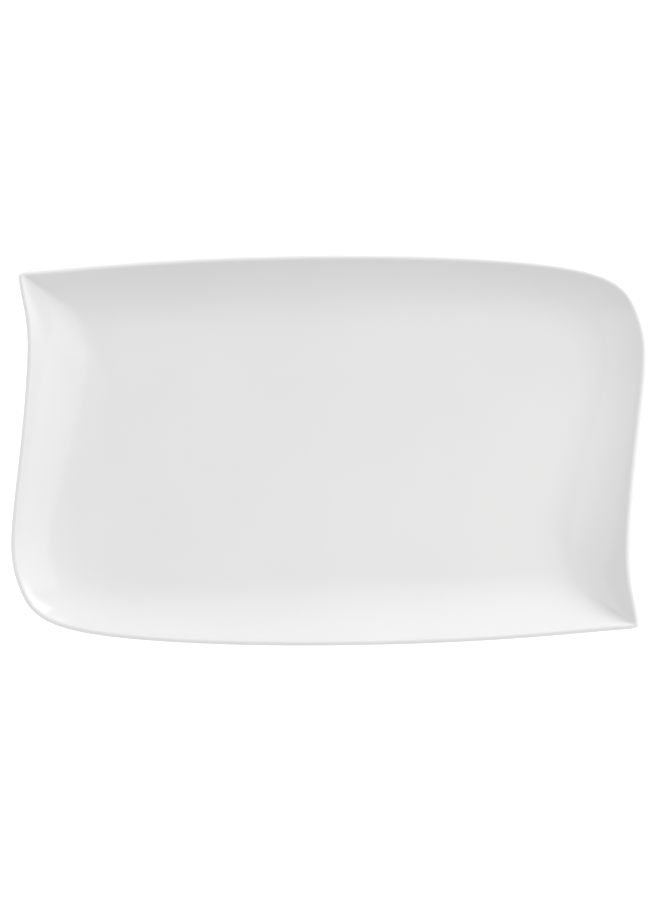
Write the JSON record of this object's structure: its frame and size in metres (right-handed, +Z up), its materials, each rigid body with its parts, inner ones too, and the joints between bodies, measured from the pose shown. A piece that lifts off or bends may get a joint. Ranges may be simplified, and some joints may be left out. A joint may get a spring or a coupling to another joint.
{
  "type": "serving platter",
  "caption": "Long shallow white porcelain serving platter with a wavy lip: pointed raised tips at two opposite corners, round at the other two, flat well, ring foot.",
  "frame": {"origin": "middle of the platter, in the plane that its foot ring stands on", "axes": "+X along the length, with the raised pointed tips at -X +Y and +X -Y; +Y across the width; +Z up out of the well"},
  "size_m": [0.355, 0.218, 0.029],
  "materials": {
    "biscuit": "matte",
    "glaze": "gloss",
    "stamp_ink": "gloss"
  },
  "bodies": {
    "root": {"porcelain_body": "biscuit", "glaze_face": "glaze", "glaze_recess_outer": "glaze", "glaze_recess_inner": "glaze", "backstamp": "stamp_ink"}
  },
  "joints": []
}
